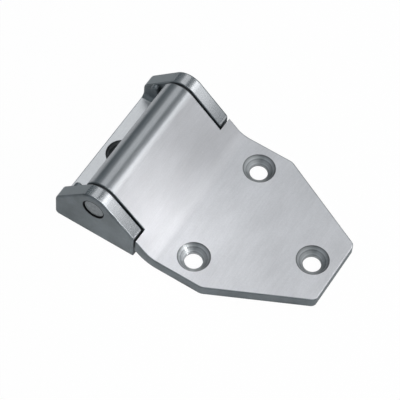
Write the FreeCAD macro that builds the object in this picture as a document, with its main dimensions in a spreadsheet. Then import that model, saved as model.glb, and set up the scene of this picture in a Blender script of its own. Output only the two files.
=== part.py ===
import FreeCAD, Part
import math
import os
import Sketcher

# Heavy-duty knuckle hinge of cast stainless steel, in millimetres, +Z up.
# X runs from the pin to the tip of the door leaf, Y along the pin. The origin lies on the bracket's
# mounting face, directly under the middle of the pin. The leaf lies closed, on the mounting plane.

doc = FreeCAD.newDocument("HeavyDutyHinge")

# Driving dimensions: alias, value, meaning.
SIZES = [
    ("hinge_width", 68.6, "width of the bracket, along the pin"),
    ("pin_height", 17.5, "height of the pin's axis over the mounting face"),
    ("pin_radius", 4.5, "radius of the pin and of the cheeks' bores"),
    ("pin_recess", 0.5, "depth of each end of the pin below the cheek's outer face"),
    ("pin_chamfer", 0.4, "chamfer on each end of the pin"),
    ("pin_fit", 0.01, "radial clearance of the pin in the cheeks"),
    ("knuckle_radius", 7.8, "outer radius of the knuckle and of the cheeks' tops"),
    ("slope_angle", 42.0, "slope of the leaf's neck and of the cheeks' fronts, in degrees"),
    ("back_angle", 45.5, "slope of the cheeks' backs, in degrees"),
    ("cheek_width", 6.0, "thickness of each cheek, along the pin"),
    ("bracket_back", 17.4, "distance from the pin to the bracket's back edge"),
    ("cheek_front", 18.2, "distance from the pin to the cheeks' front ends"),
    ("base_front", 16.5, "distance from the pin to the front edge of the base plate"),
    ("base_thickness", 4.5, "thickness of the base plate"),
    ("foot_fillet", 2.0, "fillet between the base plate and each cheek"),
    ("back_round", 4.0, "rounding between a cheek's back slope and its back edge"),
    ("toe_round", 1.8, "rounding at the bottom of the back edge"),
    ("front_round", 2.0, "rounding at the top of a cheek's front end"),
    ("cheek_round", 0.9, "rounding of the edges of the cheeks' outer faces"),
    ("edge_round", 0.5, "rounding of the castings' other edges"),
    ("end_gap", 0.75, "gap between each end of the knuckle and its cheek"),
    ("washer_play", 0.05, "clearance on each side of a thrust washer"),
    ("washer_margin", 0.8, "distance from a washer's rim to the knuckle's outer surface"),
    ("washer_bore_clearance", 0.1, "radial clearance of a washer on the pin"),
    ("bush_wall", 1.2, "wall of a bush"),
    ("bush_length", 16.0, "length of a bush"),
    ("bush_fit", 0.01, "radial clearance of a bush in the knuckle"),
    ("running_clearance", 0.04, "radial clearance of the pin in a bush"),
    ("leaf_thickness", 5.0, "thickness of the leaf"),
    ("leaf_inset", 0.3, "setback of the leaf's sides from the cheeks' outer faces"),
    ("leaf_reach", 87.5, "distance from the pin to the leaf's end edge"),
    ("leaf_shoulder", 19.0, "distance from the pin to the leaf's shoulders"),
    ("leaf_side_end", 48.5, "distance from the pin to the end of the parallel sides"),
    ("leaf_end_width", 29.5, "width of the leaf's end edge"),
    ("leaf_bend_radius", 8.5, "inner radius of the bend between the neck and the flat"),
    ("root_fillet", 2.5, "fillet between the neck's underside and the knuckle"),
    ("side_corner_round", 5.0, "rounding at the end of the parallel sides"),
    ("tip_corner_round", 2.5, "rounding at the corners of the end edge"),
    ("screw_hole", 7.2, "diameter of each screw hole"),
    ("countersink", 13.0, "diameter of each countersink"),
    ("countersink_angle", 90.0, "angle of each countersink, in degrees"),
    ("hole_back_chamfer", 1.0, "chamfer of the leaf's holes on the underside"),
    ("leaf_pair_reach", 39.2, "distance from the pin to the leaf's pair of holes"),
    ("leaf_pair_spacing", 48.0, "distance between the holes of the leaf's pair"),
    ("tip_hole_margin", 9.9, "distance from the leaf's end edge to its single hole"),
    ("leaf_tip_hole", "=leaf_reach - tip_hole_margin",
     "distance from the pin to the leaf's single hole"),
    ("base_hole_back", 9.0, "distance behind the pin to the base's single hole"),
    ("base_pair_front", 9.0, "distance in front of the pin to the base's pair of holes"),
    ("base_pair_spacing", 34.0, "distance between the holes of the base's pair"),
    ("swing_angle", 180.0, "swing of the leaf, in degrees, up to the stop lugs"),
    ("lug_radius", 1.9, "radius of a stop lug"),
    ("lug_height", 2.2, "height of a stop lug over the cheek's inner face"),
    ("lug_round", 0.8, "rounding of a stop lug's end"),
    ("lug_clearance", 0.3, "gap between a stop lug and the fully opened leaf"),
    ("lug_distance", 6.2, "distance of a stop lug from the pin, along the opened leaf's neck"),
]

sheet = doc.addObject("Spreadsheet::Sheet", "Sizes")
for row, (alias, value, meaning) in enumerate(SIZES, start=1):
    sheet.set(f"A{row}", alias)
    sheet.set(f"B{row}", str(value))
    sheet.set(f"C{row}", meaning)
    sheet.setAlias(f"B{row}", alias)
doc.recompute()


def size(alias):
    """The value of one driving dimension."""
    return float(sheet.get(alias))


def new_body(label):
    """An empty body with the piece's own name."""
    body = doc.addObject("PartDesign::Body", label)
    body.Label = label
    return body


def base_plane(body, role):
    """One of the body's own origin planes."""
    return next(f for f in body.Origin.OriginFeatures if f.Role == role)


def new_sketch(body, name, role, offset=None):
    """A sketch on an origin plane of the body, moved along its normal by an expression."""
    sketch = body.newObject("Sketcher::SketchObject", name)
    sketch.AttachmentSupport = [(base_plane(body, role), "")]
    sketch.MapMode = "FlatFace"
    if offset:
        sketch.setExpression("AttachmentOffset.Base.z", offset)
    return sketch


def constrain(sketch, name, expression, *constraint):
    """A named constraint whose size comes from the sheet."""
    index = sketch.addConstraint(Sketcher.Constraint(*constraint))
    sketch.renameConstraint(index, name)
    sketch.setExpression(f"Constraints.{name}", expression)


def point(x, y):
    """A point of a sketch."""
    return FreeCAD.Vector(x, y, 0)


def arc(centre, radius, start, end):
    """A counter-clockwise arc of a sketch, angles in radians."""
    circle = Part.Circle(centre, FreeCAD.Vector(0, 0, 1), radius)
    return Part.ArcOfCircle(circle, start, end)


def add_polygon(sketch, corners):
    """A closed outline of straight edges, joined at its corners."""
    count = len(corners)
    for i in range(count):
        sketch.addGeometry(Part.LineSegment(point(*corners[i]), point(*corners[(i + 1) % count])))
    for i in range(count):
        sketch.addConstraint(Sketcher.Constraint("Coincident", i, 2, (i + 1) % count, 1))


def add_circle(sketch, name, centre, radius, radius_expression, x_expression, y_expression):
    """A circle with its radius and its centre's place from the sheet."""
    index = sketch.addGeometry(Part.Circle(point(*centre), FreeCAD.Vector(0, 0, 1), radius))
    constrain(sketch, f"{name}_radius", radius_expression, "Radius", index, radius)
    constrain(sketch, f"{name}_x", x_expression, "DistanceX", -1, 1, index, 3, centre[0])
    constrain(sketch, f"{name}_y", y_expression, "DistanceY", -1, 1, index, 3, centre[1])


def add_centred_circle(sketch, name, radius, radius_expression):
    """A circle about the sketch's origin, with its radius from the sheet."""
    index = sketch.addGeometry(Part.Circle(point(0, 0), FreeCAD.Vector(0, 0, 1), radius))
    sketch.addConstraint(Sketcher.Constraint("Coincident", index, 3, -1, 1))
    constrain(sketch, name, radius_expression, "Radius", index, radius)


def pad(body, name, sketch, length, symmetric=True, backwards=False):
    """Material along the sketch's normal, on both sides of it or on one."""
    feature = body.newObject("PartDesign::Pad", name)
    feature.Profile = sketch
    feature.SideType = "Symmetric" if symmetric else "One side"
    feature.Reversed = backwards
    feature.setExpression("Length", length)
    return feature


def pocket(body, name, sketch, length=None):
    """A cut on both sides of the sketch, of a given length or right through."""
    feature = body.newObject("PartDesign::Pocket", name)
    feature.Profile = sketch
    feature.SideType = "Symmetric"
    if length:
        feature.setExpression("Length", length)
    else:
        feature.Type = "ThroughAll"
    return feature


def mirrored(body, name, features):
    """The same features again on the other side of the hinge's middle plane."""
    feature = body.newObject("PartDesign::Mirrored", name)
    feature.Originals = features
    feature.MirrorPlane = (base_plane(body, "XZ_Plane"), [""])
    body.Tip = feature
    return feature


def edges_where(feature, test):
    """The names of the feature's edges that pass the test."""
    doc.recompute()
    return [f"Edge{i}" for i, edge in enumerate(feature.Shape.Edges, start=1) if test(edge)]


def fillet(body, name, base, test, radius):
    """A fillet with its radius from the sheet, on the edges that pass the test."""
    names = edges_where(base, test)
    feature = body.newObject("PartDesign::Fillet", name)
    feature.Base = (base, names)
    feature.setExpression("Radius", radius)
    doc.recompute()
    return feature


def chamfer(body, name, base, test, depth):
    """A chamfer with its size from the sheet, on the edges that pass the test."""
    names = edges_where(base, test)
    feature = body.newObject("PartDesign::Chamfer", name)
    feature.Base = (base, names)
    feature.setExpression("Size", depth)
    doc.recompute()
    return feature


def countersunk_holes(body, name, sketch):
    """Countersunk screw holes, right through, at the sketch's circles."""
    doc.recompute()
    feature = body.newObject("PartDesign::Hole", name)
    feature.Profile = sketch
    feature.DepthType = "ThroughAll"
    feature.HoleCutType = "Countersink"
    feature.HoleCutCustomValues = True
    feature.setExpression("Diameter", "Sizes.screw_hole")
    feature.setExpression("HoleCutDiameter", "Sizes.countersink")
    feature.setExpression("HoleCutCountersinkAngle", "Sizes.countersink_angle")
    doc.recompute()
    return feature


NEAR = 1e-3


def near(a, b):
    """Whether two lengths are the same, but for rounding."""
    return abs(a - b) < NEAR


def runs_along(edge, axis):
    """Whether a straight edge runs along the axis."""
    if not isinstance(edge.Curve, (Part.Line, Part.LineSegment)):
        return False
    return abs(abs(edge.tangentAt(edge.FirstParameter).dot(axis)) - 1) < NEAR


def flat_at(edge, axis, value):
    """Whether the whole edge lies in the plane where its coordinate along the axis is value."""
    points = edge.discretize(5)
    return all(near(p.dot(axis), value) for p in points)


X_AXIS = FreeCAD.Vector(1, 0, 0)
Y_AXIS = FreeCAD.Vector(0, 1, 0)
Z_AXIS = FreeCAD.Vector(0, 0, 1)


def make_base_bracket():
    """The casting that is screwed to the frame: base plate, two cheeks, bores, lugs and holes."""
    body = new_body("base_bracket")
    height, radius = size("pin_height"), size("knuckle_radius")
    back, front = size("bracket_back"), size("cheek_front")
    half_width = size("hinge_width") / 2
    inner = half_width - size("cheek_width")
    base_top = size("base_thickness")

    # Side profile: a round top about the pin, with a slope on each side down to upright ends.
    rise = math.radians(size("slope_angle"))
    fall = math.radians(size("back_angle"))
    top_front = point(radius * math.sin(rise), height + radius * math.cos(rise))
    top_back = point(-radius * math.sin(fall), height + radius * math.cos(fall))
    front_corner = height + (radius - math.sin(rise) * front) / math.cos(rise)
    back_corner = height + (radius - math.sin(fall) * back) / math.cos(fall)
    profile = new_sketch(body, "SideProfile", "XZ_Plane")
    outline = [point(-back, 0), point(front, 0), point(front, front_corner), top_front]
    bottom, front_end, front_slope = (
        profile.addGeometry(Part.LineSegment(a, b)) for a, b in zip(outline, outline[1:])
    )
    top = profile.addGeometry(
        arc(point(0, height), radius, math.pi / 2 - rise, math.pi / 2 + fall)
    )
    back_slope = profile.addGeometry(Part.LineSegment(top_back, point(-back, back_corner)))
    back_end = profile.addGeometry(Part.LineSegment(point(-back, back_corner), point(-back, 0)))
    for first, end, second, start in (
        (bottom, 2, front_end, 1), (front_end, 2, front_slope, 1),
        (back_slope, 2, back_end, 1), (back_end, 2, bottom, 1),
    ):
        profile.addConstraint(Sketcher.Constraint("Coincident", first, end, second, start))
    profile.addConstraint(Sketcher.Constraint("Tangent", front_slope, 2, top, 1))
    profile.addConstraint(Sketcher.Constraint("Tangent", top, 2, back_slope, 1))
    profile.addConstraint(Sketcher.Constraint("PointOnObject", bottom, 1, -1))
    profile.addConstraint(Sketcher.Constraint("PointOnObject", bottom, 2, -1))
    profile.addConstraint(Sketcher.Constraint("Vertical", front_end))
    profile.addConstraint(Sketcher.Constraint("Vertical", back_end))
    profile.addConstraint(Sketcher.Constraint("PointOnObject", top, 3, -2))
    constrain(profile, "pin_height", "Sizes.pin_height", "DistanceY", -1, 1, top, 3, height)
    constrain(profile, "top_radius", "Sizes.knuckle_radius", "Radius", top, radius)
    constrain(profile, "front", "Sizes.cheek_front", "DistanceX", -1, 1, bottom, 2, front)
    constrain(profile, "back", "Sizes.bracket_back", "DistanceX", bottom, 1, -1, 1, back)
    constrain(profile, "front_slope", "(180 - Sizes.slope_angle) * 1 deg",
              "Angle", front_slope, math.pi - rise)
    constrain(profile, "back_slope", "(Sizes.back_angle - 180) * 1 deg",
              "Angle", back_slope, fall - math.pi)
    block = pad(body, "SideBlock", profile, "Sizes.hinge_width")

    # The space between the cheeks, down to the base plate and past its front edge.
    channel = new_sketch(body, "ChannelOutline", "XZ_Plane")
    clear = height + radius
    add_polygon(channel, [
        (-back - clear, base_top), (size("base_front"), base_top), (size("base_front"), -clear),
        (front + clear, -clear), (front + clear, 2 * clear), (-back - clear, 2 * clear),
    ])
    for edge in (0, 2, 4):
        channel.addConstraint(Sketcher.Constraint("Horizontal", edge))
    for edge in (1, 3, 5):
        channel.addConstraint(Sketcher.Constraint("Vertical", edge))
    constrain(channel, "floor", "Sizes.base_thickness", "DistanceY", -1, 1, 0, 2, base_top)
    constrain(channel, "edge", "Sizes.base_front", "DistanceX", -1, 1, 0, 2, size("base_front"))
    past = "Sizes.pin_height + Sizes.knuckle_radius"
    constrain(channel, "below", past, "DistanceY", 2, 1, -1, 1, clear)
    constrain(channel, "above", f"2 * ({past})", "DistanceY", -1, 1, 4, 1, 2 * clear)
    constrain(channel, "ahead", f"Sizes.cheek_front + {past}",
              "DistanceX", -1, 1, 4, 1, front + clear)
    constrain(channel, "behind", f"Sizes.bracket_back + {past}",
              "DistanceX", 4, 2, -1, 1, back + clear)
    inner_width = "Sizes.hinge_width - 2 * Sizes.cheek_width"
    gap = pocket(body, "Channel", channel, inner_width)

    # Corners of the cheeks' outline, each an edge along the pin.
    def outline_corner(x, z):
        return lambda e: (runs_along(e, Y_AXIS) and near(e.CenterOfMass.x, x)
                          and near(e.CenterOfMass.z, z))
    rounded = fillet(body, "BackRound", gap, outline_corner(-back, back_corner),
                     "Sizes.back_round")
    rounded = fillet(body, "ToeRound", rounded, outline_corner(-back, 0), "Sizes.toe_round")
    rounded = fillet(body, "FrontRound", rounded, outline_corner(front, front_corner),
                     "Sizes.front_round")
    footed = fillet(
        body, "FootFillet", rounded,
        lambda e: (runs_along(e, X_AXIS) and near(abs(e.CenterOfMass.y), inner)
                   and near(e.CenterOfMass.z, base_top)),
        "Sizes.foot_fillet",
    )

    # Edges round the cheeks' faces and along the back, apart from the mounting face's.
    def face_edge(e, place):
        on_face = flat_at(e, Y_AXIS, place) or flat_at(e, Y_AXIS, -place)
        return on_face and not near(e.BoundBox.ZMax, 0) and not runs_along(e, X_AXIS)

    def inner_edge(e):
        box = e.BoundBox
        along_back = flat_at(e, X_AXIS, -back) and box.ZMin > size("toe_round") / 2
        return (face_edge(e, inner) and box.ZMax > base_top + NEAR) or along_back
    softened = fillet(body, "CheekRound", footed, lambda e: face_edge(e, half_width),
                      "Sizes.cheek_round")
    fillet(body, "EdgeRound", softened, inner_edge, "Sizes.edge_round")

    # Bores for the pin, through both cheeks.
    bore = new_sketch(body, "BoreOutline", "XZ_Plane")
    add_circle(bore, "bore", (0, height), size("pin_radius"),
               "Sizes.pin_radius + Sizes.pin_fit", "0", "Sizes.pin_height")
    pocket(body, "PinBore", bore)

    # Stop lugs, which the opened leaf's neck reaches at the end of its swing.
    turned = math.radians(90 - size("slope_angle") + size("swing_angle"))
    away = radius + size("lug_radius") + size("lug_clearance")
    along = size("lug_distance")
    lug_x = away * math.cos(turned) + along * math.sin(turned)
    lug_z = height + away * math.sin(turned) - along * math.cos(turned)
    face = "(Sizes.hinge_width / 2 - Sizes.cheek_width)"
    lug = new_sketch(body, "LugOutline", "XZ_Plane", f"-{face}")
    angle = "(90 - Sizes.slope_angle + Sizes.swing_angle) * 1 deg"
    reach = "(Sizes.knuckle_radius + Sizes.lug_radius + Sizes.lug_clearance)"
    add_circle(lug, "lug", (lug_x, lug_z), size("lug_radius"), "Sizes.lug_radius",
               f"{reach} * cos({angle}) + Sizes.lug_distance * sin({angle})",
               f"Sizes.pin_height + {reach} * sin({angle}) - Sizes.lug_distance * cos({angle})")
    stub = pad(body, "StopLug", lug, "Sizes.lug_height", symmetric=False)
    both = mirrored(body, "StopLugs", [stub])
    lug_end = inner - size("lug_height")
    fillet(
        body, "LugRound", both,
        lambda e: (isinstance(e.Curve, Part.Circle) and near(e.Curve.Radius, size("lug_radius"))
                   and near(abs(e.CenterOfMass.y), lug_end)),
        "Sizes.lug_round",
    )

    # Countersunk holes: one behind the pin, two in front of it.
    holes = new_sketch(body, "ScrewPlaces", "XY_Plane", "Sizes.base_thickness")
    hole = size("screw_hole") / 2
    half_pair = size("base_pair_spacing") / 2
    add_circle(holes, "back", (-size("base_hole_back"), 0), hole, "Sizes.screw_hole / 2",
               "-Sizes.base_hole_back", "0")
    for name, side in (("left", -1), ("right", 1)):
        add_circle(holes, name, (size("base_pair_front"), side * half_pair), hole,
                   "Sizes.screw_hole / 2", "Sizes.base_pair_front",
                   f"{side} * Sizes.base_pair_spacing / 2")
    countersunk_holes(body, "ScrewHoles", holes)
    return body


def make_door_leaf():
    """The casting that is screwed to the door, about an origin on the pin's axis."""
    body = new_body("door_leaf")
    body.setExpression("Placement.Base.z", "Sizes.pin_height")
    radius, thickness = size("knuckle_radius"), size("leaf_thickness")
    floor = -size("pin_height")
    rise = math.radians(size("slope_angle"))
    inner_bend = size("leaf_bend_radius")
    outer_bend = inner_bend + thickness
    reach = size("leaf_reach")
    half_width = size("hinge_width") / 2 - size("leaf_inset")
    knuckle_end = size("hinge_width") / 2 - size("cheek_width") - size("end_gap")
    width = "(Sizes.hinge_width - 2 * Sizes.leaf_inset)"

    # Side profile: the knuckle, the neck that leaves it at a tangent, the bend and the flat.
    normal = (math.sin(rise), math.cos(rise))
    bend_z = floor + outer_bend
    bend_x = (radius + inner_bend - normal[1] * bend_z) / normal[0]
    centre = point(bend_x, bend_z)
    neck_top = point(radius * normal[0], radius * normal[1])
    inner_start = point(bend_x - inner_bend * normal[0], bend_z - inner_bend * normal[1])
    outer_start = point(bend_x - outer_bend * normal[0], bend_z - outer_bend * normal[1])
    under = radius - thickness
    run = math.sqrt(radius ** 2 - under ** 2)
    neck_root = point(under * normal[0] + run * normal[1], under * normal[1] - run * normal[0])
    profile = new_sketch(body, "SideProfile", "XZ_Plane")
    top_angle = math.pi / 2 - rise
    root_angle = math.atan2(neck_root.y, neck_root.x) + 2 * math.pi
    bend_start = -math.pi / 2 - rise
    flat_top = floor + thickness
    knuckle = profile.addGeometry(arc(point(0, 0), radius, top_angle, root_angle))
    top_neck = profile.addGeometry(Part.LineSegment(neck_top, inner_start))
    top_bend = profile.addGeometry(arc(centre, inner_bend, bend_start, -math.pi / 2))
    top_flat = profile.addGeometry(
        Part.LineSegment(point(bend_x, flat_top), point(reach, flat_top)))
    end = profile.addGeometry(Part.LineSegment(point(reach, flat_top), point(reach, floor)))
    low_flat = profile.addGeometry(Part.LineSegment(point(reach, floor), point(bend_x, floor)))
    low_bend = profile.addGeometry(arc(centre, outer_bend, bend_start, -math.pi / 2))
    low_neck = profile.addGeometry(Part.LineSegment(outer_start, neck_root))
    for first, stop, second, start in (
        (knuckle, 1, top_neck, 1), (top_neck, 2, top_bend, 1), (top_bend, 2, top_flat, 1),
        (low_flat, 2, low_bend, 2), (low_bend, 1, low_neck, 1),
    ):
        profile.addConstraint(Sketcher.Constraint("Tangent", first, stop, second, start))
    for first, stop, second, start in (
        (top_flat, 2, end, 1), (end, 2, low_flat, 1), (low_neck, 2, knuckle, 2),
    ):
        profile.addConstraint(Sketcher.Constraint("Coincident", first, stop, second, start))
    profile.addConstraint(Sketcher.Constraint("Coincident", knuckle, 3, -1, 1))
    profile.addConstraint(Sketcher.Constraint("Coincident", top_bend, 3, low_bend, 3))
    profile.addConstraint(Sketcher.Constraint("Vertical", end))
    profile.addConstraint(Sketcher.Constraint("Horizontal", low_flat))
    profile.addConstraint(Sketcher.Constraint("Horizontal", top_flat))
    profile.addConstraint(Sketcher.Constraint("Parallel", low_neck, top_neck))
    constrain(profile, "knuckle", "Sizes.knuckle_radius", "Radius", knuckle, radius)
    constrain(profile, "inner_bend", "Sizes.leaf_bend_radius", "Radius", top_bend, inner_bend)
    constrain(profile, "outer_bend", "Sizes.leaf_bend_radius + Sizes.leaf_thickness",
              "Radius", low_bend, outer_bend)
    constrain(profile, "underside", "Sizes.pin_height",
              "DistanceY", low_flat, 1, -1, 1, -floor)
    constrain(profile, "reach", "Sizes.leaf_reach", "DistanceX", -1, 1, low_flat, 1, reach)
    constrain(profile, "slope", "-Sizes.slope_angle * 1 deg",
              "Angle", top_neck, -rise)
    block = pad(body, "SideBlock", profile, width)

    # Room for the cheek beside the knuckle and the neck, as far as the shoulder.
    notch = new_sketch(body, "CheekRoom", "XY_Plane")
    shoulder = size("leaf_shoulder")
    add_polygon(notch, [
        (-2 * radius, knuckle_end), (shoulder, knuckle_end),
        (shoulder, 2 * half_width), (-2 * radius, 2 * half_width),
    ])
    for edge in (0, 2):
        notch.addConstraint(Sketcher.Constraint("Horizontal", edge))
    for edge in (1, 3):
        notch.addConstraint(Sketcher.Constraint("Vertical", edge))
    constrain(notch, "shoulder", "Sizes.leaf_shoulder", "DistanceX", -1, 1, 0, 2, shoulder)
    constrain(notch, "neck_side", "Sizes.hinge_width / 2 - Sizes.cheek_width - Sizes.end_gap",
              "DistanceY", -1, 1, 0, 2, knuckle_end)
    constrain(notch, "behind", "2 * Sizes.knuckle_radius", "DistanceX", 0, 1, -1, 1, 2 * radius)
    constrain(notch, "beside", width, "DistanceY", -1, 1, 2, 1, 2 * half_width)
    notch_cut = pocket(body, "CheekNotch", notch)

    # The taper from the parallel sides to the end edge, cut past both of its ends.
    taper = new_sketch(body, "TaperOutline", "XY_Plane")
    side_end, half_end = size("leaf_side_end"), size("leaf_end_width") / 2
    drop = (half_width - half_end) / (reach - side_end)
    before, past = side_end - half_width, reach + half_width
    add_polygon(taper, [
        (before, half_width + drop * half_width), (past, half_end - drop * half_width),
        (past, 3 * half_width), (before, 3 * half_width),
    ])
    for edge in (1, 3):
        taper.addConstraint(Sketcher.Constraint("Vertical", edge))
    taper.addConstraint(Sketcher.Constraint("Horizontal", 2))
    run_out = "(Sizes.leaf_reach - Sizes.leaf_side_end)"
    slope = f"({width} - Sizes.leaf_end_width) / 2 / {run_out}"
    constrain(taper, "start_x", f"Sizes.leaf_side_end - {width} / 2",
              "DistanceX", -1, 1, 0, 1, before)
    constrain(taper, "start_y", f"{width} / 2 * (1 + {slope})",
              "DistanceY", -1, 1, 0, 1, half_width * (1 + drop))
    constrain(taper, "stop_x", f"Sizes.leaf_reach + {width} / 2",
              "DistanceX", -1, 1, 0, 2, past)
    constrain(taper, "stop_y", f"Sizes.leaf_end_width / 2 - {width} / 2 * {slope}",
              "DistanceY", -1, 1, 0, 2, half_end - drop * half_width)
    constrain(taper, "beside", f"1.5 * {width}",
              "DistanceY", -1, 1, 2, 1, 3 * half_width)
    taper_cut = pocket(body, "Taper", taper)
    outline = mirrored(body, "BothSides", [notch_cut, taper_cut])

    # Rounded corners of the plate, each an upright edge.
    def upright(x, y):
        return lambda e: (runs_along(e, Z_AXIS) and near(e.CenterOfMass.x, x)
                          and near(abs(e.CenterOfMass.y), y))
    rounded = fillet(body, "SideCorners", outline, upright(side_end, half_width),
                     "Sizes.side_corner_round")
    rounded = fillet(body, "TipCorners", rounded, upright(reach, half_end),
                     "Sizes.tip_corner_round")
    rooted = fillet(
        body, "RootFillet", rounded,
        lambda e: (runs_along(e, Y_AXIS) and near(e.CenterOfMass.x, neck_root.x)
                   and near(e.CenterOfMass.z, neck_root.y)),
        "Sizes.root_fillet",
    )

    # Outer edges: round the plate above and below, the shoulders, the neck and the knuckle's ends.
    def outer_edge(e):
        if flat_at(e, Y_AXIS, half_width) or flat_at(e, Y_AXIS, -half_width):
            return not runs_along(e, Z_AXIS)
        if flat_at(e, Y_AXIS, knuckle_end) or flat_at(e, Y_AXIS, -knuckle_end):
            return not runs_along(e, Z_AXIS)
        level = flat_at(e, Z_AXIS, floor) or flat_at(e, Z_AXIS, flat_top)
        return level and not near(e.CenterOfMass.x, bend_x)
    fillet(body, "EdgeRound", rooted, outer_edge, "Sizes.edge_round")

    # The knuckle's bore, which holds the two bushes.
    bore = new_sketch(body, "BoreOutline", "XZ_Plane")
    bore_size = "Sizes.pin_radius + Sizes.running_clearance + Sizes.bush_wall + Sizes.bush_fit"
    add_centred_circle(bore, "bore", size("pin_radius") + size("bush_wall"), bore_size)
    pocket(body, "KnuckleBore", bore)

    # Countersunk holes: a pair behind and one near the tip.
    holes = new_sketch(body, "ScrewPlaces", "XY_Plane",
                       "Sizes.leaf_thickness - Sizes.pin_height")
    hole = size("screw_hole") / 2
    half_pair = size("leaf_pair_spacing") / 2
    add_circle(holes, "tip", (size("leaf_tip_hole"), 0), hole, "Sizes.screw_hole / 2",
               "Sizes.leaf_tip_hole", "0")
    for name, side in (("left", -1), ("right", 1)):
        add_circle(holes, name, (size("leaf_pair_reach"), side * half_pair), hole,
                   "Sizes.screw_hole / 2", "Sizes.leaf_pair_reach",
                   f"{side} * Sizes.leaf_pair_spacing / 2")
    drilled = countersunk_holes(body, "ScrewHoles", holes)
    chamfer(
        body, "HoleBacks", drilled,
        lambda e: (isinstance(e.Curve, Part.Circle) and flat_at(e, Z_AXIS, floor)
                   and near(e.Curve.Radius, hole)),
        "Sizes.hole_back_chamfer",
    )
    return body


def make_hinge_pin():
    """The turned pin, pressed into both cheeks, its ends a little below their outer faces."""
    body = new_body("hinge_pin")
    body.setExpression("Placement.Base.z", "Sizes.pin_height")
    circle = new_sketch(body, "PinSection", "XZ_Plane")
    add_centred_circle(circle, "radius", size("pin_radius"), "Sizes.pin_radius")
    rod = pad(body, "PinRod", circle, "Sizes.hinge_width - 2 * Sizes.pin_recess")
    chamfer(body, "PinEnds", rod, lambda e: isinstance(e.Curve, Part.Circle),
            "Sizes.pin_chamfer")
    return body


def make_bush(label, side):
    """A plain bush, flush with one end of the knuckle. Its middle is the body's origin."""
    body = new_body(label)
    knuckle_end = "(Sizes.hinge_width / 2 - Sizes.cheek_width - Sizes.end_gap)"
    body.setExpression("Placement.Base.y", f"{side} * ({knuckle_end} - Sizes.bush_length / 2)")
    body.setExpression("Placement.Base.z", "Sizes.pin_height")
    ring = new_sketch(body, "BushSection", "XZ_Plane")
    bore = size("pin_radius") + size("running_clearance")
    add_centred_circle(ring, "outside", bore + size("bush_wall"),
                       "Sizes.pin_radius + Sizes.running_clearance + Sizes.bush_wall")
    add_centred_circle(ring, "bore", bore, "Sizes.pin_radius + Sizes.running_clearance")
    pad(body, "BushTube", ring, "Sizes.bush_length")
    return body


def make_thrust_washer(label, side):
    """A thin washer between one end of the knuckle and its cheek. Its middle is the origin."""
    body = new_body(label)
    body.setExpression(
        "Placement.Base.y",
        f"{side} * (Sizes.hinge_width / 2 - Sizes.cheek_width - Sizes.end_gap / 2)")
    body.setExpression("Placement.Base.z", "Sizes.pin_height")
    ring = new_sketch(body, "WasherSection", "XZ_Plane")
    add_centred_circle(ring, "outside", size("knuckle_radius") - size("washer_margin"),
                       "Sizes.knuckle_radius - Sizes.washer_margin")
    add_centred_circle(ring, "bore", size("pin_radius") + size("washer_bore_clearance"),
                       "Sizes.pin_radius + Sizes.washer_bore_clearance")
    pad(body, "WasherDisc", ring, "Sizes.end_gap - 2 * Sizes.washer_play")
    return body


PIECES = [
    make_base_bracket(),
    make_door_leaf(),
    make_hinge_pin(),
    make_bush("bush_front", -1),
    make_bush("bush_rear", 1),
    make_thrust_washer("thrust_washer_front", -1),
    make_thrust_washer("thrust_washer_rear", 1),
]
doc.recompute()

failed = [o.Label for o in doc.Objects if "Invalid" in o.State or "Error" in o.State]
if failed:
    raise RuntimeError("Features that failed: " + ", ".join(failed))
for piece in PIECES:
    if piece.Shape.isNull() or not piece.Shape.isValid():
        raise RuntimeError("No valid shape: " + piece.Label)

os.makedirs("parts", exist_ok=True)
for piece in PIECES:
    piece.Shape.exportStep(f"parts/{piece.Label}.step")
    print(piece.Label, len(piece.Shape.Solids), round(piece.Shape.Volume, 2))
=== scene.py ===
import math

import bpy
from mathutils import Matrix, Vector

# The heavy-duty hinge in satin steel: finishes for the CAD's nodes, a white floor, the lamps and
# the camera. No shape is added. Lengths are metres in the CAD's frame: the pin lies along Y, the
# closed leaf points along +X, and Z is up out of the mounting plane.

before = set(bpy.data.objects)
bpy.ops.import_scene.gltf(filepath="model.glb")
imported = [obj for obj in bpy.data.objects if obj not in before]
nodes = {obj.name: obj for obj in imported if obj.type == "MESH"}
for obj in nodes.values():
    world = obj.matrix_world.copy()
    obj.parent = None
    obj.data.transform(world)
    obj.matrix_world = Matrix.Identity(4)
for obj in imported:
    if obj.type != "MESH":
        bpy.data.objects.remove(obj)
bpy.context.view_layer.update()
scene = bpy.context.scene
scene.view_settings.view_transform = "Standard"

# --- Sizes that the finishes follow -------------------------------------------------------------

PIN_HEIGHT = 0.0175
KNUCKLE_RADIUS = 0.0078
# Painted shade in the bore round the pin's ends reaches this radius, with an edge this soft.
BORE_RADIUS = 0.00475
BORE_EDGE = 0.0001
# The degrees that the neck and the cheeks' front slopes fall, and the slopes' curvature per metre.
SLOPE_ANGLE = 42.0
CROWN = 8.0
# A countersunk seat's finish lies within this radius and above this height, with soft edges.
SEAT_RADIUS = 0.0066
SEAT_EDGE = 0.0002
SEAT_FLOOR = 0.0010
SEAT_FLOOR_EDGE = 0.0004
# The dark line at a seat's rim begins at this radius and leaves this share of the colour.
RIM_BEGIN = 0.0058
RIM_END = SEAT_RADIUS - 0.0001
RIM_SHADE = 0.40
# A normal counts as level while its Z is under the first share, and no longer past the second.
LEVEL_NORMAL = (0.2, 0.5)
# How softly a flank begins past its edge, as a share of the normal's Y.
FLANK_SOFTNESS = 0.25
# How nearly a normal has to point out of the cheeks' front slopes for their crown to show.
SLOPE_NORMAL = (0.90, 0.97)
# How large the Y of a normal on a rounded edge is before it counts as a flank.
BRACKET_EDGE = 0.05
LEAF_EDGE = 0.04
# Where a finish begins: it fades in from the first place to the second on that axis.
BACK_BEGIN = ("X", -0.0040, -0.0056)
BASE_BEGIN = ("Z", 0.0052, 0.0048)
NECK_BEGIN = ("X", 0.0030, 0.0060)
PLATE_BEGIN = ("X", 0.0230, 0.0310)
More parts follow.
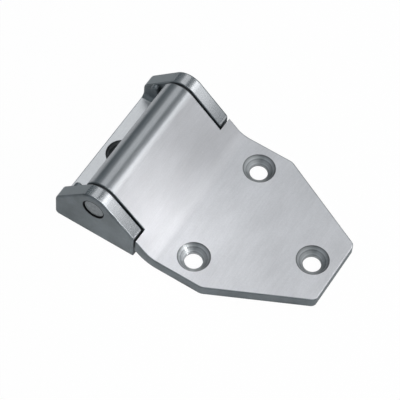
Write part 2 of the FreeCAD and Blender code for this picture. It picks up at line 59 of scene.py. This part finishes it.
# The holes' axes, as X and Y.
BASE_HOLES = ((-0.009, 0.0), (0.009, -0.017), (0.009, 0.017))
LEAF_HOLES = ((0.0776, 0.0), (0.0392, -0.024), (0.0392, 0.024))

# --- Marks on the metal -------------------------------------------------------------------------

# The belt's marks, in cycles per metre, and how far each one is squeezed along Y.
HAIR_LINES, HAIR_SQUEEZE = 4200.0, 0.04
BROAD_LINES, BROAD_SQUEEZE = 1300.0, 0.08
SPECKLE = 1900.0
BELT_CLOUDS, CLOUD_SQUEEZE = 75.0, 0.55
# How strong the lines and the clouds are beside the speckle.
LINE_STRENGTH = 0.6
CLOUD_STRENGTH = 1.9
# The blasted skin's grain and clouds, in cycles per metre, and the strength of its clouds and tone.
SKIN_GRAIN = 1500.0
SKIN_CLOUDS = 110.0
SKIN_CLOUD_STRENGTH = 3.0
SKIN_STRENGTH = 2.2
# The cutter's rings in the seats: cycles per metre, strength, and how far and how fast they wander.
SEAT_RINGS = 2000.0
SEAT_RING_STRENGTH = 14.0
WANDER = 0.0003
WANDER_SCALE = 250.0
# How much of those marks reaches the steel's colour and its roughness, and how deep they are.
TONE_IN_COLOUR = 0.17
TONE_IN_ROUGHNESS = 0.04
MARK_DEPTH = 0.00002
# The pin's rings and clouds, in cycles per metre, and their share in its colour and roughness.
PIN_RINGS = 1600.0
PIN_CLOUDS = 650.0
PIN_CLOUD_STRENGTH = 1.6
PIN_TONE_IN_COLOUR = 0.9
PIN_TONE_IN_ROUGHNESS = 0.15
# The pin's end is darker from the first radius to the second, down to this share of its colour:
# painted shade where the pin sits recessed in its bore.
PIN_RIM = (0.0039, 0.0044)
PIN_RIM_PAINTED_SHADE = 0.5
# The bushes' pores and the washers' mould texture, in cycles per metre.
PORES = 3000.0
MOULD = 1800.0
# How deep the marks of the pin, the bushes and the washers are.
FINE_DEPTH = 0.00003

# --- Colours ------------------------------------------------------------------------------------

# Each finish of the steel: its colour and its roughness.
KNUCKLE_SATIN = ((0.448, 0.460, 0.478, 1.0), 0.30)
CHEEK_SATIN = ((0.520, 0.530, 0.548, 1.0), 0.26)
NECK_GROUND = ((0.620, 0.618, 0.635, 1.0), 0.74)
PLATE_GROUND = ((0.758, 0.755, 0.775, 1.0), 0.66)
BASE_GROUND = ((0.800, 0.806, 0.826, 1.0), 0.36)
BACK_BLASTED = ((0.260, 0.285, 0.300, 1.0), 0.36)
# The flanks' blasted finish; its very dark colour is also painted shade for the sideways faces.
BLASTED_AND_PAINTED_SHADE = ((0.203, 0.224, 0.236, 1.0), 0.48)
TURNED_SEAT = ((0.410, 0.422, 0.432, 1.0), 0.42)
# Painted shade: a near-black colour standing for the shadow in the bore round the pin's ends.
BORE_PAINTED_SHADE = ((0.03, 0.03, 0.033, 1.0), 0.6)
# The pin, the bushes' pores and metal, and the washers' plastic at its darkest and lightest.
PIN_COLOUR, PIN_ROUGHNESS = (0.275, 0.29, 0.30), 0.42
PORE_COLOUR, BRONZE_COLOUR = (0.16, 0.10, 0.05, 1.0), (0.50, 0.34, 0.16, 1.0)
PLASTIC_DARK, PLASTIC_LIGHT = (0.012, 0.012, 0.014, 1.0), (0.03, 0.03, 0.033, 1.0)

# --- Node helpers -------------------------------------------------------------------------------


class Tree:
    """A node tree with short calls that add a node, set its options and link its inputs."""

    def __init__(self, tree):
        self.tree = tree

    def add(self, kind, values=None, **options):
        """A node of the kind. values maps an input's name or number to a constant or a socket."""
        node = self.tree.nodes.new("ShaderNode" + kind)
        for name, option in options.items():
            setattr(node, name, option)
        for key, value in (values or {}).items():
            if isinstance(value, bpy.types.NodeSocket):
                self.tree.links.new(value, node.inputs[key])
            else:
                node.inputs[key].default_value = value
        return node

    def math(self, operation, first, second=0.0, third=0.0):
        """The result of one Math node."""
        node = self.add("Math", {0: first, 1: second, 2: third}, operation=operation)
        return node.outputs[0]

    def ramp(self, value, low, high, out_low=0.0, out_high=1.0):
        """value taken smoothly from out_low to out_high while it goes from low to high."""
        node = self.add("MapRange", {"Value": value, "From Min": low, "From Max": high,
                                     "To Min": out_low, "To Max": out_high},
                        interpolation_type="SMOOTHSTEP")
        return node.outputs["Result"]

    def mix(self, factor, first, second):
        """The colour first turned into the colour second by factor."""
        node = self.add("Mix", {"Factor": factor}, data_type="RGBA")
        for name, value in (("A_Color", first), ("B_Color", second)):
            socket = next(s for s in node.inputs if s.identifier == name)
            if isinstance(value, bpy.types.NodeSocket):
                self.tree.links.new(value, socket)
            else:
                socket.default_value = value
        return next(s for s in node.outputs if s.identifier == "Result_Color")

    def noise(self, vector, scale, detail=2.0, roughness=0.5):
        """Noise from 0 to 1 at so many cycles per metre."""
        node = self.add("TexNoise", {"Vector": vector, "Scale": scale, "Detail": detail,
                                     "Roughness": roughness})
        return node.outputs["Fac"]

    def stretched(self, vector, stretch):
        """The vector with each coordinate multiplied by stretch."""
        node = self.add("VectorMath", {0: vector, 1: stretch}, operation="MULTIPLY")
        return node.outputs["Vector"]

    def blend(self, factor, first, second):
        """The number first turned into the number second by factor."""
        node = self.add("Mix", {"Factor": factor, "A": first, "B": second}, data_type="FLOAT")
        return node.outputs["Result"]

    def group(self, tree, values):
        """A placed node group with its own values."""
        node = self.add("Group", node_tree=tree)
        for key, value in values.items():
            if isinstance(value, bpy.types.NodeSocket):
                self.tree.links.new(value, node.inputs[key])
            else:
                node.inputs[key].default_value = value
        return node.outputs


def new_group(name, inputs, outputs):
    """An empty node group: (Tree, its input sockets, its output node)."""
    tree = bpy.data.node_groups.new(name, "ShaderNodeTree")
    for direction, sockets in (("INPUT", inputs), ("OUTPUT", outputs)):
        for socket, kind in sockets:
            tree.interface.new_socket(socket, in_out=direction, socket_type="NodeSocket" + kind)
    start = tree.nodes.new("NodeGroupInput")
    end = tree.nodes.new("NodeGroupOutput")
    return Tree(tree), start.outputs, end.inputs


# --- Shared effects -----------------------------------------------------------------------------


def belt_grain():
    """Grinding marks along Y: hair-fine lines, broader lines, a fine speckle and slow clouds.

    The lines are noise on coordinates whose Y is squeezed, so that its spots become lines along Y.
    Height is the lines' sum about nought, and Tone adds the speckle and the clouds.
    """
    t, given, out = new_group(
        "belt grain", [("Vector", "Vector"), ("Lines", "Float"), ("Clouds", "Float")],
        [("Height", "Float"), ("Tone", "Float")])
    place = given["Vector"]
    hair = t.noise(t.stretched(place, (1.0, HAIR_SQUEEZE, 1.0)), HAIR_LINES, detail=2.0)
    line = t.noise(t.stretched(place, (1.0, BROAD_SQUEEZE, 1.0)), BROAD_LINES, detail=3.0)
    speckle = t.noise(place, SPECKLE, detail=3.0, roughness=0.6)
    cloud = t.noise(t.stretched(place, (1.0, CLOUD_SQUEEZE, 1.0)), BELT_CLOUDS,
                    detail=3.0, roughness=0.55)
    lines = t.math("SUBTRACT", t.math("ADD", hair, line), 1.0)
    lines = t.math("MULTIPLY", lines, given["Lines"])
    clouds = t.math("MULTIPLY", t.math("SUBTRACT", cloud, 0.5), given["Clouds"])
    tone = t.math("ADD", t.math("ADD", lines, t.math("SUBTRACT", speckle, 0.5)), clouds)
    t.tree.links.new(lines, out["Height"])
    t.tree.links.new(tone, out["Tone"])
    return t.tree


def blasted_skin():
    """A bead-blasted skin: a fine even grain and soft clouds, both about nought."""
    t, given, out = new_group(
        "blasted skin", [("Vector", "Vector"), ("Scale", "Float")],
        [("Height", "Float"), ("Tone", "Float")])
    grain = t.noise(given["Vector"], given["Scale"], detail=3.0, roughness=0.65)
    cloud = t.noise(given["Vector"], SKIN_CLOUDS, detail=3.0, roughness=0.6)
    t.tree.links.new(t.math("SUBTRACT", grain, 0.5), out["Height"])
    clouds = t.math("MULTIPLY", t.math("SUBTRACT", cloud, 0.5), SKIN_CLOUD_STRENGTH)
    t.tree.links.new(t.math("ADD", t.math("SUBTRACT", grain, 0.5), clouds), out["Tone"])
    return t.tree


def facing():
    """Flanks is 1 on the faces that look sideways, from the piece's own normal.

    Those are the faces whose normal is about level, such as the plate's edge all round, and those
    whose normal has a Y past Edge, which takes in the rounded edges beside them: the smaller Edge
    is, the more of a rounded edge counts as a flank.
    """
    t, given, out = new_group("facing", [("Normal", "Vector"), ("Edge", "Float")],
                              [("Flanks", "Float")])
    parts = t.add("SeparateXYZ", {0: given["Normal"]}).outputs
    past_edge = t.math("SUBTRACT", t.math("ABSOLUTE", parts["Y"]), given["Edge"])
    ends = t.ramp(past_edge, 0.0, FLANK_SOFTNESS)
    level = t.ramp(t.math("ABSOLUTE", parts["Z"]), *LEVEL_NORMAL, 1.0, 0.0)
    t.tree.links.new(t.math("MAXIMUM", ends, level), out["Flanks"])
    return t.tree


def hole_seats(name, holes):
    """The countersunk seats: Mask is 1 within the seat's radius of a hole's axis, above its floor.

    Rings are the cutter's marks, a noise on the distance from that axis, about nought. Shade is
    the dark line at the seat's rim: 1 up to RIM_BEGIN, down to RIM_SHADE at the rim.
    """
    t, given, out = new_group(name, [("Vector", "Vector")],
                              [("Mask", "Float"), ("Rings", "Float"), ("Shade", "Float")])
    on_plan = t.stretched(given["Vector"], (1.0, 1.0, 0.0))
    nearest = None
    for x, y in holes:
        away = t.add("VectorMath", {0: on_plan, 1: (x, y, 0.0)}, operation="DISTANCE")
        away = away.outputs["Value"]
        nearest = away if nearest is None else t.math("MINIMUM", nearest, away)
    inside = t.ramp(nearest, SEAT_RADIUS - SEAT_EDGE, SEAT_RADIUS, 1.0, 0.0)
    height = t.add("SeparateXYZ", {0: given["Vector"]}).outputs["Z"]
    above = t.ramp(height, SEAT_FLOOR, SEAT_FLOOR + SEAT_FLOOR_EDGE)
    t.tree.links.new(t.math("MULTIPLY", inside, above), out["Mask"])
    wander = t.noise(given["Vector"], WANDER_SCALE)
    radius = t.math("MULTIPLY_ADD", wander, WANDER, nearest)
    rings = t.noise(t.add("CombineXYZ", {"X": radius}).outputs[0], SEAT_RINGS, detail=3.0)
    t.tree.links.new(t.math("SUBTRACT", rings, 0.5), out["Rings"])
    t.tree.links.new(t.ramp(nearest, RIM_BEGIN, RIM_END, 1.0, RIM_SHADE), out["Shade"])
    return t.tree


def pin_bore_painted_shade():
    """Painted shade round the pin's ends: Mask is 1 nearer to the pin's axis than the cheeks."""
    t, given, out = new_group("pin bore", [("Vector", "Vector")], [("Mask", "Float")])
    from_axis = t.add("VectorMath", {0: t.stretched(given["Vector"], (1.0, 0.0, 1.0)),
                                     1: (0.0, 0.0, PIN_HEIGHT)}, operation="DISTANCE")
    t.tree.links.new(t.ramp(from_axis.outputs["Value"], BORE_RADIUS, BORE_RADIUS + BORE_EDGE,
                            1.0, 0.0), out["Mask"])
    return t.tree


def slope_crown():
    """The slight crown that a belt leaves on the cheeks' front slopes, as a height in metres.

    It is -CROWN * l * l / 2, with l the distance down the slope from its top edge.
    """
    t, given, out = new_group("slope crown", [("Vector", "Vector"), ("Normal", "Vector")],
                              [("Height", "Float")])
    lean = math.radians(SLOPE_ANGLE)
    top = Vector((KNUCKLE_RADIUS * math.sin(lean), 0.0,
                  PIN_HEIGHT + KNUCKLE_RADIUS * math.cos(lean)))
    from_top = t.add("VectorMath", {0: given["Vector"], 1: tuple(top)}, operation="SUBTRACT")
    down = t.add("VectorMath", {0: from_top.outputs["Vector"],
                                1: (math.cos(lean), 0.0, -math.sin(lean))},
                 operation="DOT_PRODUCT")
    length = t.math("MAXIMUM", down.outputs["Value"], 0.0)
    facing_slope = t.add("VectorMath", {0: given["Normal"],
                                        1: (math.sin(lean), 0.0, math.cos(lean))},
                         operation="DOT_PRODUCT")
    on_slope = t.ramp(facing_slope.outputs["Value"], *SLOPE_NORMAL)
    bend = t.math("MULTIPLY", t.math("MULTIPLY", length, length), -0.5 * CROWN)
    t.tree.links.new(t.math("MULTIPLY", bend, on_slope), out["Height"])
    return t.tree


BELT_GRAIN = belt_grain()
BLASTED_SKIN = blasted_skin()
FACING = facing()
PIN_BORE_PAINTED_SHADE = pin_bore_painted_shade()
SLOPE_CROWN = slope_crown()

# --- Finishes -----------------------------------------------------------------------------------


def new_material(name):
    """An empty material: (material, Tree, its Principled shader)."""
    material = bpy.data.materials.new(name)
    material.use_nodes = True
    material.node_tree.nodes.clear()
    t = Tree(material.node_tree)
    shader = t.add("BsdfPrincipled")
    t.add("OutputMaterial", {"Surface": shader.outputs[0]})
    return material, t, shader


def set_shader(t, shader, **values):
    """Sets or links the shader's inputs, named with _ for each blank."""
    for key, value in values.items():
        socket = shader.inputs[key.replace("_", " ")]
        if isinstance(value, bpy.types.NodeSocket):
            t.tree.links.new(value, socket)
        else:
            socket.default_value = value


def satin_steel(name, satin, edge, zones, holes, crowned=False):
    """Cast stainless steel: satin on its round tops, ground or blasted elsewhere, turned seats.

    satin is the finish of the round tops, and edge says how much of the rounded edges is blasted
    with the flanks, whose dark colour is partly painted shade; the bore round the pin's ends is
    painted shade. zones holds pairs of a function and a finish: the function gives 1 where that
    finish lies, from the place's X, Y and Z sockets. Each finish is a colour and a roughness, and
    later ones lie over earlier ones. holes are the axes of the countersinks, and crowned bends
    the light on the cheeks' front slopes.
    """
    material, t, shader = new_material(name)
    place = t.add("TexCoord").outputs
    parts = t.add("SeparateXYZ", {0: place["Object"]}).outputs
    flank = t.group(FACING, {"Normal": place["Normal"], "Edge": edge})["Flanks"]
    seats = t.group(hole_seats(name + " seats", holes), {"Vector": place["Object"]})
    # Painted shade in the bore round the pin's ends, standing for the recess's shadow.
    bore = t.group(PIN_BORE_PAINTED_SHADE, {"Vector": place["Object"]})["Mask"]
    grain = t.group(BELT_GRAIN, {"Vector": place["Object"], "Lines": LINE_STRENGTH,
                                 "Clouds": CLOUD_STRENGTH})
    skin = t.group(BLASTED_SKIN, {"Vector": place["Object"], "Scale": SKIN_GRAIN})
    colour, rough = satin
    layers = [(zone(t, parts), finish) for zone, finish in zones]
    # Flanks: blasted finish with painted shade in its colour. Bore: painted shade.
    layers += [(flank, BLASTED_AND_PAINTED_SHADE), (seats["Mask"], TURNED_SEAT), (bore, BORE_PAINTED_SHADE)]
    for mask, (layer_colour, layer_rough) in layers:
        colour = t.mix(mask, colour, layer_colour)
        rough = t.blend(mask, rough, layer_rough)
    tone = t.blend(flank, grain["Tone"], t.math("MULTIPLY", skin["Tone"], SKIN_STRENGTH))
    tone = t.blend(seats["Mask"], tone, t.math("MULTIPLY", seats["Rings"], SEAT_RING_STRENGTH))
    shade = t.math("MULTIPLY", t.math("MULTIPLY_ADD", tone, TONE_IN_COLOUR, 1.0),
                   t.blend(seats["Mask"], 1.0, seats["Shade"]))
    tinted = t.add("VectorMath", {0: colour}, operation="SCALE")
    t.tree.links.new(shade, tinted.inputs["Scale"])
    height = t.blend(flank, grain["Height"], skin["Height"])
    height = t.blend(seats["Mask"], height, seats["Rings"])
    bump = t.add("Bump", {"Strength": 0.25, "Distance": MARK_DEPTH, "Height": height})
    if crowned:
        crown = t.group(SLOPE_CROWN, {"Vector": place["Object"], "Normal": place["Normal"]})
        curved = t.add("Bump", {"Strength": 1.0, "Distance": 1.0, "Height": crown["Height"]})
        t.tree.links.new(curved.outputs["Normal"], bump.inputs["Normal"])
    set_shader(t, shader, Base_Color=tinted.outputs["Vector"], Metallic=1.0,
               Roughness=t.math("MULTIPLY_ADD", tone, TONE_IN_ROUGHNESS, rough),
               Normal=bump.outputs["Normal"])
    return material


def turned_steel():
    """The pin: turned, faced ends with fine rings about its axis, which is Y."""
    material, t, shader = new_material("turned pin steel")
    place = t.add("TexCoord").outputs["Object"]
    parts = t.add("SeparateXYZ", {0: place}).outputs
    up = t.math("SUBTRACT", parts["Z"], PIN_HEIGHT)
    radius = t.math("SQRT", t.math("ADD", t.math("MULTIPLY", parts["X"], parts["X"]),
                                   t.math("MULTIPLY", up, up)))
    rings = t.noise(t.add("CombineXYZ", {"X": radius, "Y": parts["Y"]}).outputs[0], PIN_RINGS,
                    detail=3.0)
    cloud = t.noise(place, PIN_CLOUDS, detail=4.0, roughness=0.6)
    clouds = t.math("MULTIPLY", t.math("SUBTRACT", cloud, 0.5), PIN_CLOUD_STRENGTH)
    tone = t.math("ADD", t.math("SUBTRACT", rings, 0.5), clouds)
    # Painted shade at the rim of the pin's end, where it sits recessed in its bore.
    rim = t.ramp(radius, *PIN_RIM, 1.0, PIN_RIM_PAINTED_SHADE)
    colour = t.add("VectorMath", {0: PIN_COLOUR}, operation="SCALE")
    t.tree.links.new(t.math("MULTIPLY", t.math("MULTIPLY_ADD", tone, PIN_TONE_IN_COLOUR, 1.0), rim),
                     colour.inputs["Scale"])
    bump = t.add("Bump", {"Strength": 0.3, "Distance": FINE_DEPTH, "Height": rings})
    set_shader(t, shader, Base_Color=colour.outputs["Vector"], Metallic=1.0,
               Roughness=t.math("MULTIPLY_ADD", tone, PIN_TONE_IN_ROUGHNESS, PIN_ROUGHNESS),
               Normal=bump.outputs["Normal"])
    return material


def sintered_bronze():
    """The bushes: fine-pored oily bronze."""
    material, t, shader = new_material("sintered bronze")
    place = t.add("TexCoord").outputs["Object"]
    pores = t.noise(place, PORES, detail=3.0, roughness=0.7)
    colour = t.mix(t.ramp(pores, 0.35, 0.6), PORE_COLOUR, BRONZE_COLOUR)
    bump = t.add("Bump", {"Strength": 0.3, "Distance": FINE_DEPTH, "Height": pores})
    set_shader(t, shader, Base_Color=colour, Metallic=1.0,
               Roughness=t.ramp(pores, 0.3, 0.7, 0.55, 0.35), Normal=bump.outputs["Normal"])
    return material


def washer_plastic():
    """The thrust washers: dark matt plastic with a faint mould texture."""
    material, t, shader = new_material("dark washer plastic")
    place = t.add("TexCoord").outputs["Object"]
    mould = t.noise(place, MOULD, detail=3.0)
    colour = t.mix(mould, PLASTIC_DARK, PLASTIC_LIGHT)
    bump = t.add("Bump", {"Strength": 0.2, "Distance": FINE_DEPTH, "Height": mould})
    set_shader(t, shader, Base_Color=colour, Roughness=t.ramp(mould, 0.2, 0.8, 0.5, 0.7),
               Normal=bump.outputs["Normal"])
    return material


def along(axis, first, second):
    """A zone that fades in from the first place to the second, up the axis or down it."""
    if first < second:
        return lambda t, parts: t.ramp(parts[axis], first, second)
    return lambda t, parts: t.ramp(parts[axis], second, first, 1.0, 0.0)


finishes = {
    "base_bracket": satin_steel(
        "bracket steel", CHEEK_SATIN, BRACKET_EDGE,
        ((along(*BACK_BEGIN), BACK_BLASTED), (along(*BASE_BEGIN), BASE_GROUND)),
        BASE_HOLES, crowned=True),
    "door_leaf": satin_steel(
        "leaf steel", KNUCKLE_SATIN, LEAF_EDGE,
        ((along(*NECK_BEGIN), NECK_GROUND), (along(*PLATE_BEGIN), PLATE_GROUND)),
        LEAF_HOLES),
    "hinge_pin": turned_steel(),
    "bush_front": sintered_bronze(),
    "thrust_washer_front": washer_plastic(),
}
finishes["bush_rear"] = finishes["bush_front"]
finishes["thrust_washer_rear"] = finishes["thrust_washer_front"]
for name, material in finishes.items():
    slots = nodes[name].material_slots
    if slots:
        for material_slot in slots:
            material_slot.material = material
    else:
        nodes[name].data.materials.append(material)

# --- Floor --------------------------------------------------------------------------------------

FLOOR_HALF = 6.0
# How far the floor glows white: to the camera, and to rays that a surface mirrors or lets through.
SEEN_GLOW = 0.98
MIRRORED_GLOW = 0.2

floor_mesh = bpy.data.meshes.new("floor")
floor_mesh.from_pydata(
    [(x * FLOOR_HALF, y * FLOOR_HALF, 0.0) for x, y in ((-1, -1), (1, -1), (1, 1), (-1, 1))],
    [], [(0, 1, 2, 3)])
floor = bpy.data.objects.new("floor", floor_mesh)
scene.collection.objects.link(floor)

floor_white = bpy.data.materials.new("floor white")
floor_white.use_nodes = True
floor_white.node_tree.nodes.clear()
t = Tree(floor_white.node_tree)
path = t.add("LightPath").outputs
seen = t.math("ADD", t.math("MULTIPLY", path["Is Camera Ray"], SEEN_GLOW),
              t.math("MULTIPLY", t.math("MAXIMUM", path["Is Glossy Ray"],
                                        path["Is Transmission Ray"]), MIRRORED_GLOW))
paint = t.add("BsdfDiffuse", {"Color": (0.9, 0.9, 0.9, 1.0)})
glow = t.add("Emission", {"Color": (1.0, 1.0, 1.0, 1.0), "Strength": 1.0})
both = t.add("MixShader", {0: seen, 1: paint.outputs[0], 2: glow.outputs[0]})
t.add("OutputMaterial", {"Surface": both.outputs[0]})
floor_mesh.materials.append(floor_white)

# --- Light --------------------------------------------------------------------------------------

SKY = (0.105, 0.130, 0.142, 1.0)
# The front sky fades into the rest between these two shares of Y in its direction.
FRONT_SKY = (0.50, 0.53, 0.56, 1.0)
FRONT_SKY_FULL, FRONT_SKY_NONE = -0.75, -0.15
# A gap in the front sky, which each countersink shows as a dark sector: its direction, and the
# cosines from it between which it fades in.
GAP = (0.446, -0.722, 0.527)
GAP_NONE, GAP_FULL = 0.86, 0.96

world = bpy.data.worlds.new("studio")
world.use_nodes = True
t = Tree(world.node_tree)
direction = t.add("TexCoord").outputs["Generated"]
toward = t.add("SeparateXYZ", {0: direction}).outputs
sky = t.mix(t.ramp(toward["Y"], FRONT_SKY_FULL, FRONT_SKY_NONE, 1.0, 0.0), SKY, FRONT_SKY)
in_gap = t.add("VectorMath", {0: direction, 1: GAP}, operation="DOT_PRODUCT")
sky = t.mix(t.ramp(in_gap.outputs["Value"], GAP_NONE, GAP_FULL), sky, SKY)
world.node_tree.links.new(sky, world.node_tree.nodes["Background"].inputs["Color"])
scene.world = world

# The long softboxes stand this far off, are this long, and lean towards +Y by this share of their
# direction, so that the knuckle mirrors them to the camera.
SOFTBOX_DISTANCE = 0.6
SOFTBOX_LENGTH = 0.9
SOFTBOX_Y = 0.469
POOL_DISTANCE = 0.5


def softbox(name, towards, distance, width, height, radiance, centre=(0.0, 0.0, 0.02)):
    """An area lamp that faces the centre, its height nearest to the pin's direction.

    A lamp of that radiance gives out radiance * pi * width * height watts.
    """
    lamp = bpy.data.lights.new(name, "AREA")
    lamp.shape = "RECTANGLE"
    lamp.size, lamp.size_y = width, height
    lamp.energy = radiance * math.pi * width * height
    towards = Vector(towards).normalized()
    side = Vector((0.0, 1.0, 0.0)).cross(towards).normalized()
    turn = Matrix((side, towards.cross(side), towards)).transposed()
    obj = bpy.data.objects.new(name, lamp)
    obj.matrix_world = Matrix.LocRotScale(Vector(centre) + towards * distance,
                                          turn.to_quaternion(), None)
    obj.visible_camera = False
    scene.collection.objects.link(obj)


def round_pin(angle, y=SOFTBOX_Y):
    """The direction so many degrees from +Z towards +X round the pin's axis, at the slope y."""
    turn = math.radians(angle)
    level = math.sqrt(1.0 - y * y)
    return math.sin(turn) * level, y, math.cos(turn) * level


# Long softboxes parallel to the pin, seen in its knuckle: their angle, width and radiance.
for name, angle, width, radiance in (
        ("top wide", -22.0, 0.46, 0.17), ("top core", -20.0, 0.25, 0.15),
        ("top right", -13.0, 0.13, 0.49), ("top left", -31.0, 0.13, 0.56),
        ("left", -56.0, 0.20, 0.11), ("gap", 20.0, 0.13, 0.27),
        ("right bright", 38.0, 0.13, 1.68), ("right middle", 50.0, 0.13, 0.85),
        ("right wide", 62.0, 0.20, 1.00), ("right low", 78.0, 0.13, 0.36)):
    softbox(name, round_pin(angle), SOFTBOX_DISTANCE, width, SOFTBOX_LENGTH, radiance)
# A small square one close above the leaf's near side.
softbox("near fill", (0.5, 0.0, 0.85), distance=0.25, width=0.25, height=0.25, radiance=0.87,
        centre=(0.03, -0.04, 0.0))


def pool(name, angle, radiance, aim, cone, radius):
    """A round lamp whose soft-edged beam lights a pool on the leaf's near part.

    angle is its place round the pin's axis, aim the pool's middle and cone the beam's full angle,
    in degrees. A lamp of that radiance gives out radiance * 4 * (pi * radius) ** 2 watts.
    """
    lamp = bpy.data.lights.new(name, "SPOT")
    lamp.spot_size, lamp.spot_blend = math.radians(cone), 1.0
    lamp.shadow_soft_size = radius
    lamp.energy = radiance * 4.0 * (math.pi * lamp.shadow_soft_size) ** 2
    towards = Vector(round_pin(angle, 0.0))
    obj = bpy.data.objects.new(name, lamp)
    obj.matrix_world = Matrix.LocRotScale(Vector(aim) + towards * POOL_DISTANCE,
                                          towards.to_track_quat("Z", "Y"), None)
    scene.collection.objects.link(obj)


pool("pool over plate", 0.0, 26.0, (0.024, -0.034, 0.006), cone=10.5, radius=0.05)
pool("pool over bend", 35.0, 250.0, (0.022, -0.024, 0.006), cone=6.5, radius=0.02)
pool("pool over neck", 65.0, 225.0, (0.013, -0.023, 0.012), cone=6.5, radius=0.02)

# --- Camera -------------------------------------------------------------------------------------

CAMERA_AZIMUTH, CAMERA_ELEVATION, CAMERA_ROLL = (math.radians(a) for a in (27.32, 58.11, 5.56))
CAMERA_TARGET = Vector((0.02625, 0.00153, 0.0))
CAMERA_DISTANCE = 0.8462
CAMERA_LENS = 195.9

back = Vector((math.sin(CAMERA_AZIMUTH) * math.cos(CAMERA_ELEVATION),
               -math.cos(CAMERA_AZIMUTH) * math.cos(CAMERA_ELEVATION),
               math.sin(CAMERA_ELEVATION)))
level = Vector((0.0, 0.0, 1.0)).cross(back).normalized()
upward = back.cross(level)
right = math.cos(CAMERA_ROLL) * level + math.sin(CAMERA_ROLL) * upward
up = math.cos(CAMERA_ROLL) * upward - math.sin(CAMERA_ROLL) * level
camera = bpy.data.objects.new("camera", bpy.data.cameras.new("camera"))
camera.data.lens = CAMERA_LENS
camera.data.sensor_width = 36.0
camera.data.clip_start, camera.data.clip_end = 0.01, 50.0
camera.matrix_world = Matrix.LocRotScale(
    CAMERA_TARGET + back * CAMERA_DISTANCE,
    Matrix((right, up, back)).transposed().to_quaternion(), None)
scene.collection.objects.link(camera)
scene.camera = camera
